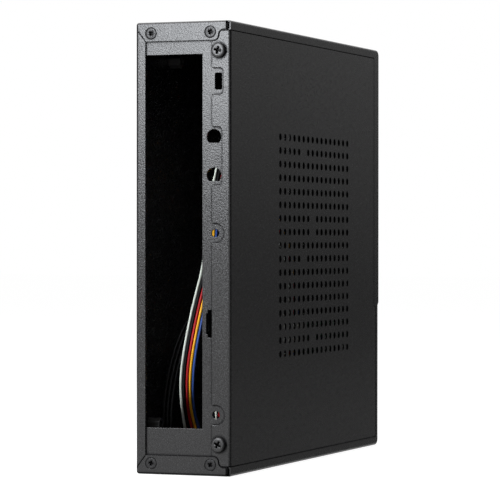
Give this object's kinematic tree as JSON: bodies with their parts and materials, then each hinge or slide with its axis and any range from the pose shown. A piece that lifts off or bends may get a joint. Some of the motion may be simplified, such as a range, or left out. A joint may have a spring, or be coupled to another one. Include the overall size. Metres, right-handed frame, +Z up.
{
  "type": "mini itx pc case",
  "caption": "Slim upright mini ITX computer case in folded black sheet steel, with a vented screwed side cover, a board aperture at the rear and a front port panel with a push button.",
  "frame": {"origin": "centre of the bottom face, on the surface that the upright case stands on", "axes": "+Z up; -Y out of the narrow rear face with the board aperture; +X out of the vented cover; +Y out of the front port panel"},
  "size_m": [0.0434, 0.1995, 0.1925],
  "materials": {
    "powder_coat": "fine sand-textured black powder coat, satin",
    "black_screw": "black zinc-plated steel",
    "black_steel": "black-passivated steel",
    "zinc_screw": "zinc-plated steel",
    "bracket_paint": "black powder coat, satin",
    "grommet_rubber": "soft matte rubber",
    "panel_plastic": "finely textured black plastic",
    "circuit_board": "green solder mask",
    "button_plastic": "smooth black plastic",
    "switch_plastic": "moulded black plastic",
    "clear_plastic": "clear light pipe",
    "light_chip": "pale lamp body",
    "socket_metal": "plated sheet metal",
    "insert_plastic": "moulded black plastic",
    "jack_plastic": "moulded black plastic",
    "white_nylon": "natural white nylon",
    "black_nylon": "black nylon",
    "lead_white": "smooth soft insulation",
    "lead_black": "smooth soft insulation",
    "lead_red": "smooth soft insulation",
    "lead_yellow": "smooth soft insulation",
    "lead_blue": "smooth soft insulation",
    "lead_dark": "smooth soft insulation"
  },
  "bodies": {
    "case": {"base_shell": "powder_coat", "io_plate": "powder_coat", "side_cover": "powder_coat", "io_plate_screws": "black_screw", "cover_screws": "black_screw", "board_posts": "black_steel", "bracket_posts": "black_steel", "drive_bracket": "bracket_paint", "drive_grommets": "grommet_rubber", "bracket_screws": "zinc_screw", "front_port_panel": "panel_plastic", "front_circuit": "circuit_board", "circuit_screws": "zinc_screw", "power_switch": "switch_plastic", "power_light_pipe": "clear_plastic", "drive_light_pipe": "clear_plastic", "status_lights": "light_chip", "usb_port_1": "socket_metal", "usb_port_2": "socket_metal", "usb_insert_1": "insert_plastic", "usb_insert_2": "insert_plastic", "audio_jack_1": "jack_plastic", "audio_jack_2": "jack_plastic", "lead_socket": "white_nylon", "usb_lead_socket": "white_nylon", "header_plug": "white_nylon", "usb_plug": "black_nylon", "lead_white": "lead_white", "lead_black": "lead_black", "lead_red": "lead_red", "lead_yellow": "lead_yellow", "lead_blue": "lead_blue", "usb_lead_1": "lead_dark", "usb_lead_2": "lead_dark", "usb_lead_3": "lead_dark"},
    "button": {"power_button": "button_plastic", "switch_plunger": "switch_plastic"}
  },
  "joints": [
    {"name": "power_button_press", "type": "slide", "parent": "case", "child": "button", "axis": [0, -1, 0], "range_m": [0, 0.0015], "stiffness_N_per_m": 400}
  ]
}
